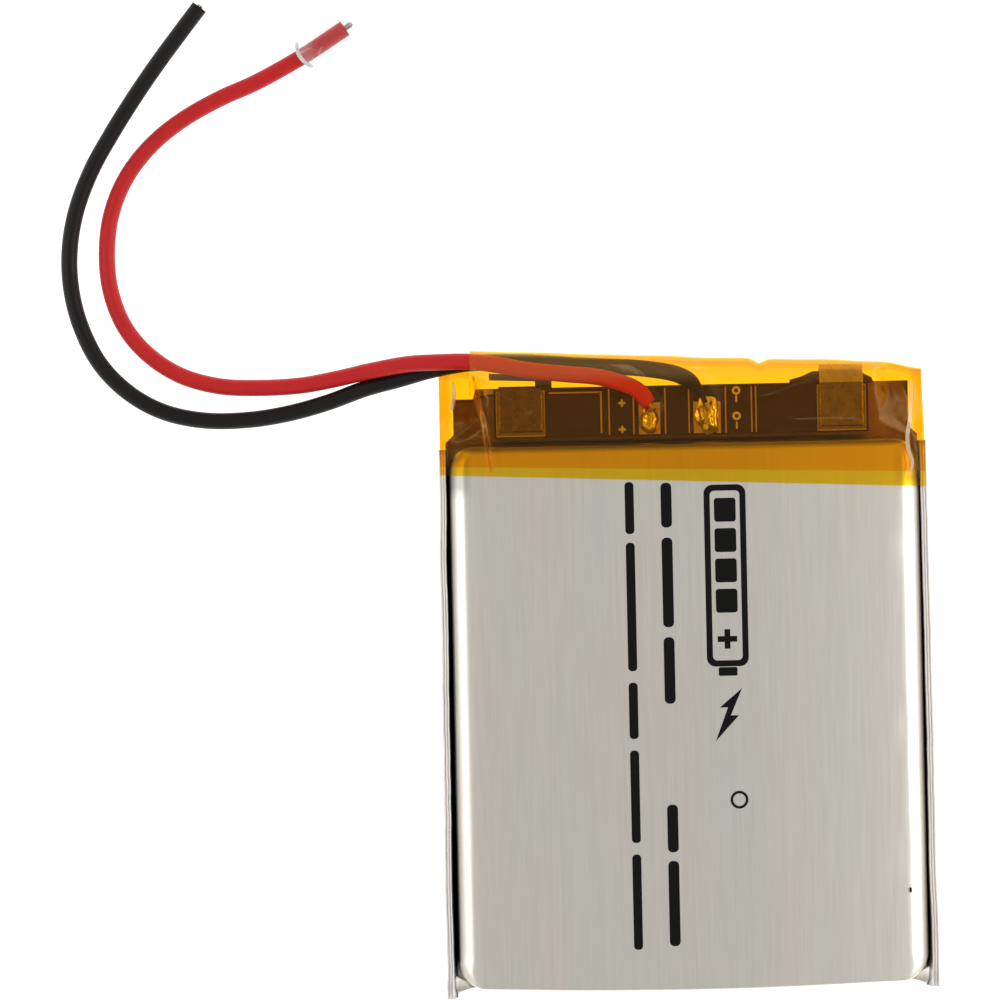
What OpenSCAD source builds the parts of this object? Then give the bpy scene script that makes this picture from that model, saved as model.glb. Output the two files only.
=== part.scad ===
// Flat lithium-polymer pouch cell with a protection board and two bare-ended leads.
// It lies on its back: X runs across the cell, +Y towards the terminals, +Z up.
// The origin is under the middle of the cell, on the surface that it lies on.

/* [Pouch] */
// Width over the folded side seals
cell_w = 34; // [32:0.5:36]
// Length from the folded end of the sheet to the edge of the top seal
cell_l = 42; // [40:0.5:46]
// Thickness of the cell at its face
cell_t = 4.4; // [4.2:0.1:4.8]
// Depth of the sealed terrace at the terminal end
terrace_l = 3.9; // [3.8:0.1:4.2]
// Thickness of the laminate
foil_t = 0.11; // [0.1:0.01:0.12]
// Radius of the drawn cup's edges
cup_r = 1.1; // [0.8:0.1:1.4]
// Height of the folded side seals
seal_h = 3.7; // [2.5:0.1:4]

/* [Tape] */
// Thickness of one layer of tape
tape_t = 0.06; // [0.04:0.01:0.07]
// Angle at which the tape is wrapped
tape_skew = 2.75; // [2:0.25:3]
// How much shorter the outer layer is at the front
tape_step = 0.9; // [0.5:0.1:1.5]

/* [Board] */
// Length of the protection board
board_l = 26; // [25:0.5:27]
// Width of the protection board
board_w = 3.4; // [3.2:0.1:3.5]
// Thickness of the protection board
board_t = 0.8; // [0.6:0.1:0.8]
// Width of the cell tabs
tab_w = 3; // [2:0.5:3]

/* [Leads] */
// Outer diameter of the leads' insulation
lead_d = 1.15; // [1:0.05:1.15]
// Diameter of the bare conductors
core_d = 0.4; // [0.3:0.05:0.4]
// Outer diameter of the clear sleeve
sleeve_d = 2.1; // [2:0.1:2.3]
// Length of the clear sleeve
sleeve_l = 3.9; // [3:0.1:5]

/* [Roll] */
// Thickness of each electrode strip
strip_t = 0.13; // [0.1:0.01:0.13]
// Thickness of each separator film
film_t = 0.025; // [0.02:0.005:0.025]
// Turns in the flat-wound roll
turns = 4; // [2:1:4]

/* [Hidden] */
$fn = 32;
eps = 0.005;                                  // gap between stacked sheets
back_z = 2 * tape_t + 2 * eps;                // the cell's back face
seam_z = back_z + foil_t;                     // where the two laminates meet
face_z = back_z + cell_t;                     // the cell's front face
fold_y = -21.9;                               // the folded end
end_y = fold_y + cell_l;                      // edge of the top seal
cup_y = end_y - terrace_l;                    // end wall of the cup
corner_y = fold_y + 0.5;                      // the folded end at its corners
seal_t = 0.58;                                // thickness of a side seal, folded twice
plate_x = cell_w / 2 - seal_t;                // edge of the flat laminates
cup_x = plate_x - 0.12;                       // side wall of the cup
trim_x = plate_x - 0.57;                      // edge of the top seal, which is trimmed narrower
trim_cut = 0.7;                               // how far its left corner is cut back
board_y = end_y - board_w / 2 - 0.1;          // middle of the board
board_z = back_z + 1.57;                      // underside of the board
top_z = board_z + board_t;                    // top of the board
pad_t = 0.035;
strip_x = board_l / 2 - 1.85;                 // middle of each nickel strip
nickel_t = 0.15;
tab_t = 0.08;
tab_film_t = 0.05;
tab_film_w = tab_w + 2;
tab_z = seam_z + tab_film_t + tab_t / 2;      // the tabs' height in the top seal
tab_top_z = top_z + pad_t + nickel_t + tab_t / 2 + eps;
roll_z = (seam_z + face_z - foil_t) / 2 + 0.02; // middle of the roll
roll_end_y = cup_y - 1.6;                     // the roll's terminal end
roll_half = cup_x - foil_t - 2.5;             // half of the roll's flat stretch
roll_r = 0.35;                                // half of the roll's open middle
turn_pitch = 2 * (strip_t + film_t) + 4 * eps;
wound_r = roll_r + turn_pitch * (turns + 1);  // half of the roll's thickness at its outer end
joints_x = [-2.2, 1.8];                       // middles of the + and - output pads
joint_y = board_y - 0.5;
lead_r = lead_d / 2;

// Route of the red lead: joint, along the board's edge, out of the tape, then on the surface.
red_route = [
    [-2.2, 18.8, 3.15], [-3.2, 19.9, 3.15], [-5.5, 20.7, 2.9], [-8, 21, 2.5], [-10.5, 21.3, 2.2],
    [-12.5, 21.7, 2.1], [-14.6, 22, 2], [-17.4, 22, 1.8], [-19.2, 21.9, 1.5], [-21.6, 21.5, 1],
    [-24, 21, 0.65], [-26.5, 20.6, 0.6], [-29.5, 20.5, 0.6], [-32.2, 20.7, 0.6],
    [-34.8, 21.5, 0.6], [-37, 23, 0.6], [-38.6, 25, 0.6], [-39.5, 27.5, 0.6],
    [-39.7, 30.2, 0.6], [-39.3, 32.9, 0.6], [-38.2, 35.4, 0.6], [-36.4, 37.6, 0.6],
    [-34.2, 39.3, 0.6], [-31.6, 40.7, 0.6], [-29, 41.8, 0.65], [-25.8, 43.5, 0.8],
    [-22.8, 45.4, 0.8]
];
// Route of the black lead, which passes under the red one just outside the tape.
black_route = [
    [1.7, 18.8, 3.15], [1.2, 19.8, 3.15], [-0.2, 20.8, 2.9], [-2.8, 21.3, 2.2], [-5.6, 21.5, 1.5],
    [-8.3, 21.7, 1], [-11.2, 21.9, 0.8], [-14.6, 21.9, 0.8], [-17.2, 21.5, 0.65],
    [-19.5, 20.9, 0.6], [-21.9, 20.3, 0.6], [-24.5, 19.4, 0.6], [-27.2, 18.7, 0.6],
    [-30, 18.3, 0.6], [-33, 18.3, 0.6], [-35.8, 18.9, 0.6], [-38.2, 20.2, 0.6],
    [-40.2, 22.2, 0.6], [-41.5, 24.7, 0.6], [-42.2, 27.4, 0.6], [-42.3, 30.2, 0.6],
    [-41.8, 33, 0.6], [-40.7, 35.8, 0.6], [-39.2, 38.4, 0.6], [-37.5, 41, 0.6],
    [-35.7, 43.5, 0.6], [-34, 45.7, 0.6], [-32.9, 47.1, 0.6]
];
exit_x = -14.6;                               // where the leads leave the tape
notch_y = 21.2;                               // top edge of the tape beside that exit

// ---- shared shapes ----

function unit(v) = v / norm(v);
function side_of(v) = [-v[1], v[0]];
function reversed(list) = [for (i = [len(list) - 1:-1:0]) list[i]];

// Direction of a path at point i, and how much longer an offset is at a corner.
function heading(p, i) =
    i == 0 ? unit(p[1] - p[0])
    : i == len(p) - 1 ? unit(p[i] - p[i - 1])
    : unit(unit(p[i] - p[i - 1]) + unit(p[i + 1] - p[i]));
function stretch(p, i) = i == 0 ? 1 : 1 / (heading(p, i) * unit(p[i] - p[i - 1]));
function beside(p, d) =
    [for (i = [0:len(p) - 1]) p[i] + d * stretch(p, i) * side_of(heading(p, i))];

// Points on an arc about c, from angle a0 to a1.
function arc(c, r, a0, a1, n) =
    [for (i = [0:n]) c + r * [cos(a0 + (a1 - a0) * i / n), sin(a0 + (a1 - a0) * i / n)]];

// A strip of thickness t along a flat path.
module ribbon(path, t) {
    polygon(concat(beside(path, t / 2), reversed(beside(path, -t / 2))));
}

// A profile in the YZ plane, w wide and centred on x.
module across(x, w) {
    translate([x - w / 2, 0, 0])
        rotate([90, 0, 90])
        linear_extrude(w)
        children();
}

// A box given by its middle in X and Y, its size there, and its lowest and highest Z.
module slab(x, y, w, l, z0, z1) {
    translate([x - w / 2, y - l / 2, z0])
        cube([w, l, z1 - z0]);
}

// A round cord swept along a route.
function cord_ring(c, dir, r, sides) =
    let (across_dir = unit(cross(dir, [0, 0, 1])), up_dir = cross(across_dir, dir))
    [for (k = [0:sides - 1])
        let (a = 360 * (k + 0.5) / sides)
        c + r * (cos(a) * across_dir + sin(a) * up_dir)];

module cord(route, r, sides = 8) {
    last = len(route) - 1;
    points = [for (i = [0:last]) each cord_ring(route[i], heading(route, i), r, sides)];
    walls = [for (i = [0:last - 1], k = [0:sides - 1])
        [i * sides + k, i * sides + (k + 1) % sides,
         (i + 1) * sides + (k + 1) % sides, (i + 1) * sides + k]];
    start = [for (k = [sides - 1:-1:0]) k];
    finish = [for (k = [0:sides - 1]) last * sides + k];
    polyhedron(points, concat(walls, [start, finish]), convexity = 8);
}

// ---- pouch ----

// Outline of the flat laminates: slightly bowed at the folded end, narrower at the top seal.
module sheet_outline() {
    polygon([
        [-plate_x, corner_y], [-4, fold_y], [4, fold_y], [plate_x, corner_y],
        [plate_x, cup_y + 0.2], [trim_x, cup_y + 0.7], [trim_x, end_y], [-trim_x + 1.6, end_y],
        [-trim_x + 1.4, end_y - trim_cut], [-trim_x, end_y - trim_cut],
        [-trim_x, cup_y + 0.7], [-plate_x, cup_y + 0.2]
    ]);
}

// The drawn cup as a solid, drawn in by d on every side.
module cup_solid(d) {
    r = cup_r - d / 2;
    top = face_z - d - r * cos(180 / $fn);
    base = 1.4;
    hull() {
        for (s = [-1, 1]) {
            for (p = [[cup_x - 0.15, cup_y - 0.1], [cup_x - 0.15, corner_y + 0.15], [5, fold_y + 0.15]])
                translate([s * (p[0] - d - r), p[1] + (p[1] > 0 ? -1 : 1) * (d + r), top])
                    sphere(r);
            for (p = [[cup_x, cup_y], [cup_x, corner_y], [5, fold_y]])
                translate([s * (p[0] - d - base), p[1] + (p[1] > 0 ? -1 : 1) * (d + base), seam_z])
                    cylinder(r = base, h = foil_t);
        }
    }
}

module pouch_front() {
    bump_h = foil_t + 2 * tab_film_t + tab_t;
    color("silver")
        difference() {
            union() {
                cup_solid(0);
                translate([0, 0, seam_z])
                    linear_extrude(foil_t)
                    sheet_outline();
                for (s = [-1, 1])
                    slab(s * strip_x, end_y - terrace_l / 2, tab_film_w + 0.4, terrace_l,
                         seam_z, seam_z + bump_h);
            }
            translate([0, 0, -eps])
                cup_solid(foil_t);
            for (s = [-1, 1])
                slab(s * strip_x, end_y - terrace_l / 2, tab_film_w, terrace_l + 1,
                     seam_z - 1, seam_z + bump_h - foil_t);
        }
}

module pouch_back() {
    color("silver")
        translate([0, 0, back_z])
        linear_extrude(foil_t)
        sheet_outline();
}

// Section of a side seal: both laminates turned up beside the cup, over, and down outside.
module side_fold() {
    leaf = 2 * foil_t;
    inner_x = plate_x + leaf / 2;
    outer_x = cell_w / 2 - leaf / 2;
    bend_r = (outer_x - inner_x) / 2;
    path = concat(
        [[inner_x, back_z], [inner_x, back_z + seal_h - leaf / 2 - bend_r]],
        arc([inner_x + bend_r, back_z + seal_h - leaf / 2 - bend_r], bend_r, 150, 30, 4),
        [[outer_x, back_z + seal_h - leaf / 2 - bend_r], [outer_x, back_z + 0.4]]
    );
    color("gainsboro")
        translate([0, cup_y - 0.3, 0])
        rotate([90, 0, 0])
        linear_extrude(cup_y - 0.3 - fold_y + 0.25)
        ribbon(path, leaf);
}

module side_fold_right() side_fold();

module side_fold_left() {
    mirror([1, 0, 0])
        side_fold();
}

// ---- flat-wound roll ----

// One edge of a winding that starts at radius r0 and grows by one pitch every turn.
// It ends half way along the roll's underside.
function winding(r0) = concat(
    [for (k = [0:2 * turns - 1], i = [0:6])
        let (a = -90 + 180 * k + 30 * i, r = r0 + turn_pitch * (180 * k + 30 * i) / 360)
        [(k % 2 == 0 ? 1 : -1) * roll_half + r * cos(a), r * sin(a)]],
    [[0, -r0 - turn_pitch * turns]]
);

module wound_strip(offset_r, t, overhang) {
    translate([0, roll_end_y + overhang, roll_z])
        rotate([90, 0, 0])
        linear_extrude(roll_end_y - fold_y - 1.4 + 2 * overhang)
        polygon(concat(winding(roll_r + offset_r + t), reversed(winding(roll_r + offset_r))));
}

module cathode_strip() {
    color("dimgray")
        wound_strip(0, strip_t, -0.6);
}

module separator_inner() {
    color("white")
        wound_strip(strip_t + eps, film_t, 0);
}

module anode_strip() {
    color("black")
        wound_strip(strip_t + film_t + 2 * eps, strip_t, -0.3);
}

module separator_outer() {
    color("white")
        wound_strip(2 * strip_t + film_t + 3 * eps, film_t, 0);
}

// Tape that steps down from the end of the winding on to the turn below it.
module roll_tape() {
    low = roll_z - wound_r - 0.015;
    color("lightyellow")
        translate([0, (roll_end_y + fold_y) / 2 + 10, 0])
        rotate([90, 0, 0])
        linear_extrude(20)
        ribbon([[-7, low], [0.1, low], [0.8, low + turn_pitch], [7, low + turn_pitch]], 0.03);
}

// ---- tabs in the top seal ----

// A tab from the middle of the roll, through the seal, round a bend and back over the board.
module tab(x, loop) {
    inside = [
        [roll_end_y - 12, roll_z], [roll_end_y + 0.2, roll_z],
        [roll_end_y + 0.7, roll_z - 0.6], [roll_end_y + 0.9, tab_z + 0.5], [cup_y - 0.3, tab_z]
    ];
    across(x, tab_w)
        ribbon(concat(inside, loop, [[board_y - 1.3, tab_top_z]]), tab_t);
}

// The positive tab bends up close to the board's edge.
module positive_tab() {
    bend = 0.3;
    y = end_y + 0.08;
    color("lightgray")
        tab(-strip_x, concat(
            arc([y, tab_z + bend], bend, -90, 0, 3),
            arc([y, tab_top_z - bend], bend, 0, 90, 3)
        ));
}

// The negative tab makes one wide loop past the board's edge.
module negative_tab() {
    bend = (tab_top_z - tab_z) / 2;
    color("silver")
        tab(strip_x, arc([end_y - 0.05, tab_z + bend], bend, -90, 90, 12));
}

// Sealant above and below a tab, where the laminates are welded over it.
module tab_film(x) {
    color("ivory")
        for (z = [seam_z, tab_z + tab_t / 2])
            slab(x, end_y - terrace_l / 2 - 0.1, tab_film_w, terrace_l, z, z + tab_film_t);
}

module positive_tab_film() tab_film(-strip_x);

module negative_tab_film() tab_film(strip_x);

module terrace_insulator() {
    color("beige")
        slab(0, board_y, 16.4, board_w, seam_z + foil_t + eps, seam_z + foil_t + 0.15);
}

// ---- protection board ----

module circuit_board() {
    color("#1c1a18")
        slab(0, board_y, board_l, board_w, board_z, top_z);
}

module board_pads() {
    color("gold") {
        for (s = [-1, 1])
            slab(s * strip_x, board_y, 3.4, board_w - 0.2, top_z, top_z + pad_t);
        slab(joints_x[0], joint_y, 1.5, 2.2, top_z, top_z + pad_t);
        slab(joints_x[1], joint_y, 1.9, 2.2, top_z, top_z + pad_t);
    }
}

// Bare lines between the mask's windows, and the bright edges of two of them.
module board_traces() {
    color("goldenrod") {
        for (x = [-5, -3.3, -1.1, 0.55, 3.1, 4.9, 5.2])
            slab(x, board_y, 0.1, board_w - 0.2, top_z, top_z + pad_t);
        slab(-5.55, board_y, 0.12, board_w - 0.5, top_z, top_z + pad_t);
        slab(-7.4, board_y + board_w / 2 - 0.3, 3.5, 0.1, top_z, top_z + pad_t);
    }
}

module nickel_strip(x) {
    color("lightgray")
        slab(x, board_y, 3.3, board_w - 0.4, top_z + pad_t, top_z + pad_t + nickel_t);
}

module nickel_strip_positive() nickel_strip(-strip_x);

module nickel_strip_negative() nickel_strip(strip_x);

// A gull-wing lead along X that comes out of a body's side and rises to the board.
module gull_wing(start, l, w) {
    mid = -0.6;
    foot = -0.07;
    rotate([90, 0, 0])
        translate([0, 0, -w / 2])
        linear_extrude(w)
        ribbon([
            [start, mid], [start + 0.3 * l, mid], [start + 0.45 * l, foot], [start + l, foot]
        ], 0.13);
}

ic_x = -3;
mosfet_x = 5.2;

module protection_ic() {
    color("#222222")
        slab(ic_x, board_y, 2.9, 1.5, board_z - 1.1, board_z - 0.1);
}

module protection_ic_leads() {
    color("silver")
        for (side = [-90, 90], k = [-1:1])
            translate([ic_x + 0.95 * k, board_y, board_z])
                rotate([0, 0, side])
                gull_wing(0.75, 0.75, 0.4);
}

module dual_mosfet() {
    color("#222222")
        slab(mosfet_x, board_y, 4.4, 3, board_z - 1.05, board_z - 0.1);
}

module dual_mosfet_leads() {
    color("silver")
        for (side = [0, 180], k = [-1.5:1.5])
            translate([mosfet_x, board_y + 0.65 * k, board_z])
                rotate([0, 0, side])
                gull_wing(2.2, 1, 0.25);
}

// A chip part on the underside of the board: a body between two plated ends.
module chip(x, l, w, h) {
    slab(x, board_y, l, w, board_z - h, board_z);
}

module supply_resistor() {
    color("black")
        chip(-6.4, 1, 0.5, 0.35);
}

module sense_resistor() {
    color("black")
        chip(-8, 1, 0.5, 0.35);
}

module filter_capacitor() {
    color("tan")
        chip(-0.4, 1, 0.5, 0.5);
}

// ---- joints and leads ----

solder_r = 1;
solder_h = 0.55;

// A low dome of solder, cut from a ball that stands deep in the board.
module solder(x) {
    ball_r = (solder_r * solder_r + solder_h * solder_h) / (2 * solder_h);
    color("silver")
        intersection() {
            translate([x, joint_y - 0.1, top_z + pad_t + solder_h - ball_r])
                sphere(ball_r);
            slab(x, joint_y - 0.1, 1.5, 1.9, top_z + pad_t, top_z + 1);
        }
}

module solder_positive() solder(joints_x[0]);

module solder_negative() solder(joints_x[1]);

// The bare end that comes out of the insulation and lies down into the solder.
module core_joint(route, x) {
    start = route[0];
    back = unit(start - route[1]);
    color("silver")
        cord([
            start, start + 0.35 * back, [x, joint_y + 0.5, top_z + 0.35], [x, joint_y - 0.5, top_z + 0.3]
        ], core_d / 2);
}

module core_joint_red() core_joint(red_route, joints_x[0]);

module core_joint_black() core_joint(black_route, joints_x[1]);

module lead_red() {
    color("firebrick")
        cord(red_route, lead_r);
}

module lead_black() {
    color("#2b2826")
        cord(black_route, lead_r);
}

// A bare end l long, beyond the last point of a route.
module core_tip(route, l) {
    last = route[len(route) - 1];
    dir = unit(last - route[len(route) - 2]);
    color("silver")
        translate(last)
        rotate([0, 90, atan2(dir[1], dir[0])])
        cylinder(d = core_d, h = l);
}

module core_tip_red() core_tip(red_route, 0.6);

module core_tip_black() core_tip(black_route, 0.15);

// The sleeve lies on the surface round the last straight stretch of the red lead.
module red_end_sleeve() {
    last = red_route[len(red_route) - 1];
    dir = unit(last - red_route[len(red_route) - 2]);
    color("white", 0.4)
        translate([last[0], last[1], sleeve_d / 2] + 0.4 * dir)
        rotate([0, -90, atan2(dir[1], dir[0])])
        difference() {
            cylinder(d = sleeve_d, h = sleeve_l);
            translate([0, 0, -1])
                cylinder(d = sleeve_d - 0.3, h = sleeve_l + 2);
        }
}

// ---- tape ----

tape_w = 33.6;
tape_top_y = 22;                              // how far the wrap reaches past the board
tape_low_y = 13.6;                            // lower edge at the middle of the cell

// Middle of the inner layer: on the cup's face, over the board, round the top and underneath.
inner_d = tape_t / 2 + eps;
wrap_path = [
    [tape_low_y - 3, face_z + inner_d], [cup_y - 0.3, face_z + inner_d],
    [end_y - 0.6, face_z - 0.2], [tape_top_y - 0.9, face_z - 0.8], [tape_top_y - 0.2, face_z - 1.5],
    [tape_top_y, face_z - 2.3], [tape_top_y, 0.55], [tape_top_y - 0.2, 0.2],
    [tape_top_y - 0.6, back_z - inner_d], [tape_low_y - 3, back_z - inner_d]
];

// A layer d outside the inner one, cut askew at its lower edge and beside the leads' exit.
module tape(d, low_y, low_skew) {
    turn_y = (tape_low_y + tape_top_y) / 2;
    difference() {
        translate([0.1, turn_y, 0])
            rotate([0, 0, -tape_skew])
            translate([0, -turn_y, 0])
            across(0, tape_w)
            ribbon(beside(wrap_path, d), tape_t);
        translate([0, low_y, -1])
            rotate([0, 0, -low_skew])
            translate([-cell_w, -20, 0])
            cube([2 * cell_w, 20, cell_t + 3]);
        translate([exit_x - 10, notch_y, -1])
            cube([10, 5, cell_t + 3]);
    }
}

module tape_inner() {
    color("darkorange", 0.7)
        tape(0, tape_low_y, tape_skew);
}

module tape_outer() {
    color("orange", 0.7)
        tape(tape_t + eps, tape_low_y + tape_step, tape_skew - 1);
}

pouch_front();
pouch_back();
side_fold_left();
side_fold_right();
cathode_strip();
anode_strip();
separator_inner();
separator_outer();
roll_tape();
positive_tab();
negative_tab();
positive_tab_film();
negative_tab_film();
terrace_insulator();
circuit_board();
board_pads();
board_traces();
nickel_strip_positive();
nickel_strip_negative();
protection_ic();
protection_ic_leads();
dual_mosfet();
dual_mosfet_leads();
supply_resistor();
sense_resistor();
filter_capacitor();
solder_positive();
solder_negative();
core_joint_red();
core_joint_black();
lead_red();
lead_black();
core_tip_red();
core_tip_black();
red_end_sleeve();
tape_inner();
tape_outer();
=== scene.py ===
import math

import bmesh
import bpy
import numpy as np
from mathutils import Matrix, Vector, noise


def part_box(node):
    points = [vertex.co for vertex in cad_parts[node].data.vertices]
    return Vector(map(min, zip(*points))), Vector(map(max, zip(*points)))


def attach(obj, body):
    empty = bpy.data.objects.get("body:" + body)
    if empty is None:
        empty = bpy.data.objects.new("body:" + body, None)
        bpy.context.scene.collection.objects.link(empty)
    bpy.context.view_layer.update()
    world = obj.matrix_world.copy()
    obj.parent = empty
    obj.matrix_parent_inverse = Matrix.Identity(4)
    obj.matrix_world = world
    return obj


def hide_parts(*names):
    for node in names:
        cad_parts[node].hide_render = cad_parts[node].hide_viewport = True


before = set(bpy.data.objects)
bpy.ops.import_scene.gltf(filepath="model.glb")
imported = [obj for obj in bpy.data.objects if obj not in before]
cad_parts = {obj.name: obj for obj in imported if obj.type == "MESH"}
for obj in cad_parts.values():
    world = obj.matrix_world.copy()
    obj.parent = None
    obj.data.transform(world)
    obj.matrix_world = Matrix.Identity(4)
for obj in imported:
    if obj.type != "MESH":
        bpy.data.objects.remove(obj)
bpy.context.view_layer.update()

# A flat pouch cell, lying face up on a light table. Every length below is in millimetres in
# the CAD frame: X across the cell, Y towards the terminals, Z up. at() turns them into metres.
MM = 0.001
BODY = "root"


def at(x, y, z):
    return Vector((x, y, z)) * MM


def corners(node):
    """The lowest and highest corners of a CAD node."""
    low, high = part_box(node)
    return Vector(low) / MM, Vector(high) / MM


def middle(node):
    low, high = corners(node)
    return (low + high) / 2


POUCH_LOW, POUCH_HIGH = corners("pouch_front")
BOARD_HIGH = corners("circuit_board")[1]
PLATE_X = POUCH_HIGH.x  # edge of the flat laminates
END_Y = POUCH_HIGH.y  # edge of the top seal
FOLD_Y = POUCH_LOW.y  # the folded end
FACE_Z = POUCH_HIGH.z
SEAM_Z = POUCH_LOW.z
FOIL_T = 0.11
CUP_Y = END_Y - 3.9  # end wall of the cup
LEDGE_Z = SEAM_Z + FOIL_T  # top of the laminate beside the cup


# ----- Camera: straight down through a long lens, turned a little about its own axis -----

VIEW_WIDTH = 69.4  # what the picture takes in, across
VIEW_CENTRE = (-12.7, 12.35, 3)
VIEW_TURN = math.radians(1.2)  # how far the cell lies turned in the picture
LENS = 400
SENSOR = 36


def add_object(name, data):
    made = bpy.data.objects.new(name, data)
    bpy.context.scene.collection.objects.link(made)
    return made


def make_camera():
    data = bpy.data.cameras.new("camera")
    data.lens = LENS
    data.sensor_width = SENSOR
    data.clip_start = 0.01
    camera = add_object("camera", data)
    distance = VIEW_WIDTH * LENS / SENSOR
    camera.location = at(*VIEW_CENTRE) + at(0, 0, distance)
    camera.rotation_euler = (0, 0, -VIEW_TURN)
    bpy.context.scene.camera = camera


make_camera()


# ----- Building pieces -----

def piece(name, points, faces, look, slot=None, thick=0, smooth=True, replaces=()):
    """A mesh that rides with the cell. With thick, its faces are a sheet that grows inwards."""
    mesh = bpy.data.meshes.new(name)
    mesh.from_pydata([at(*p) for p in points], [], faces)
    mesh.validate()
    if not thick:
        shell = bmesh.new()
        shell.from_mesh(mesh)
        bmesh.ops.recalc_face_normals(shell, faces=shell.faces)
        shell.to_mesh(mesh)
        shell.free()
    mesh.polygons.foreach_set("use_smooth", [smooth] * len(mesh.polygons))
    made = add_object(name, mesh)
    if thick:
        solid = made.modifiers.new("thickness", "SOLIDIFY")
        solid.thickness = thick * MM
        solid.offset = -1
    mesh.materials.append(look)
    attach(made, BODY)
    if replaces:
        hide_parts(*replaces)
    return made


def look_again(made, look, chosen):
    """Give a look of their own to the faces of a piece that chosen() picks."""
    made.data.materials.append(look)
    for face in made.data.polygons:
        if chosen(face):
            face.material_index = 1


def flat_list(rows):
    return [p for row in rows for p in row]


def net(rows, closed=False):
    """The faces that join rows of points."""
    wide = len(rows[0])
    return [
        (i * wide + k, i * wide + (k + 1) % wide,
         (i + 1) * wide + (k + 1) % wide, (i + 1) * wide + k)
        for i in range(len(rows) - 1)
        for k in range(wide if closed else wide - 1)
    ]


def open_net(rows):
    """Points and faces of a sheet through rows of points."""
    return flat_list(rows), net(rows)


def closed_net(rows):
    """Points and faces of a tube through rings of points, with both of its ends closed."""
    points = flat_list(rows)
    wide = len(rows[0])
    ends = [tuple(range(wide - 1, -1, -1)), tuple(range(len(points) - wide, len(points)))]
    return points, net(rows, closed=True) + ends


def hollow_net(rows):
    """Points and faces of a tube through rings of points, whose last ring joins its first."""
    wide = len(rows[0])
    low = (len(rows) - 1) * wide
    seam = [(low + k, low + (k + 1) % wide, (k + 1) % wide, k) for k in range(wide)]
    return flat_list(rows), net(rows, closed=True) + seam


def together(*shapes):
    """Several shapes, each points and faces, as one."""
    points, faces = [], []
    for some_points, some_faces in shapes:
        faces += [tuple(len(points) + k for k in face) for face in some_faces]
        points += some_points
    return points, faces


def prism(outline, low, high):
    """A flat shape, given by its outline, from one height to another."""
    return closed_net([[(x, y, z) for x, y in outline] for z in (low, high)])


def hollow_prism(outer, inner, low, high):
    """A flat ring between two outlines that have as many points as each other."""
    loops = ((outer, low), (outer, high), (inner, high), (inner, low))
    return hollow_net([[(x, y, z) for x, y in line] for line, z in loops])


def turns(count):
    """That many angles, evenly round a full turn."""
    return [2 * math.pi * k / count for k in range(count)]


def shares(count):
    """From 0 to 1 in that many steps."""
    return [i / count for i in range(count + 1)]


def axes(ahead):
    """The directions across and up from a line that runs ahead."""
    across = ahead.cross((0, 0, 1)).normalized()
    return across, across.cross(ahead)


def heading(line, i):
    """Which way a line of points runs at its point i."""
    return (line[min(i + 1, len(line) - 1)] - line[max(i - 1, 0)]).normalized()


def tube(line, radius, sides):
    """A round rod along a line of points."""
    rows = []
    for i, place in enumerate(line):
        across, up = axes(heading(line, i))
        rows.append([place + radius * (math.cos(a) * across + math.sin(a) * up)
                     for a in turns(sides)])
    return closed_net(rows)


def circle(x, y, r, sides=24):
    return [(x + r * math.cos(a), y + r * math.sin(a)) for a in turns(sides)]


def rounded_box(x, y, w, l, r, arc=5):
    """The outline of a rectangle with rounded corners, given by its middle and size."""
    outline = []
    for q, (sx, sy) in enumerate(((1, 1), (-1, 1), (-1, -1), (1, -1))):
        for i in range(arc + 1):
            a = math.pi / 2 * (q + i / arc)
            outline.append((x + sx * (w / 2 - r) + r * math.cos(a),
                            y + sy * (l / 2 - r) + r * math.sin(a)))
    return outline


def mix(a, b, t):
    return a + (b - a) * t


def ease(start, end, value):
    """0 up to start, 1 from end on, and a smooth rise between them."""
    t = np.clip((value - start) / (end - start), 0, 1)
    return t * t * (3 - 2 * t)


def bell(distance, width):
    return np.exp(-(distance / width) ** 2)


def soft_max(a, b, blend):
    near = np.maximum(blend - np.abs(a - b), 0) / blend
    return np.maximum(a, b) + near * near * blend / 4


def lumps(x, y, z):
    """Smooth noise from about -0.5 to 0.5."""
    return noise.noise(Vector((x, y, z)))


def rumple(x, y, scale, seed):
    """The same over arrays of places; scale is the size of a lump."""
    spots = zip(np.ravel(x), np.ravel(y))
    values = [lumps(a / scale, b / scale, seed) for a, b in spots]
    return np.reshape(values, np.shape(x))


def beside(line, x, y):
    """Distance from each place to a line of points seen from above, and its height there."""
    best = np.full(np.shape(x), 1e9)
    height = np.zeros(np.shape(x))
    for a, b in zip(line, line[1:]):
        dx, dy = b[0] - a[0], b[1] - a[1]
        t = np.clip(((x - a[0]) * dx + (y - a[1]) * dy) / (dx * dx + dy * dy), 0, 1)
        away = np.hypot(x - a[0] - t * dx, y - a[1] - t * dy)
        if len(a) > 2:
            height = np.where(away < best, a[2] + t * (b[2] - a[2]), height)
        best = np.minimum(away, best)
    return best, height


# ----- Materials -----

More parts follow.
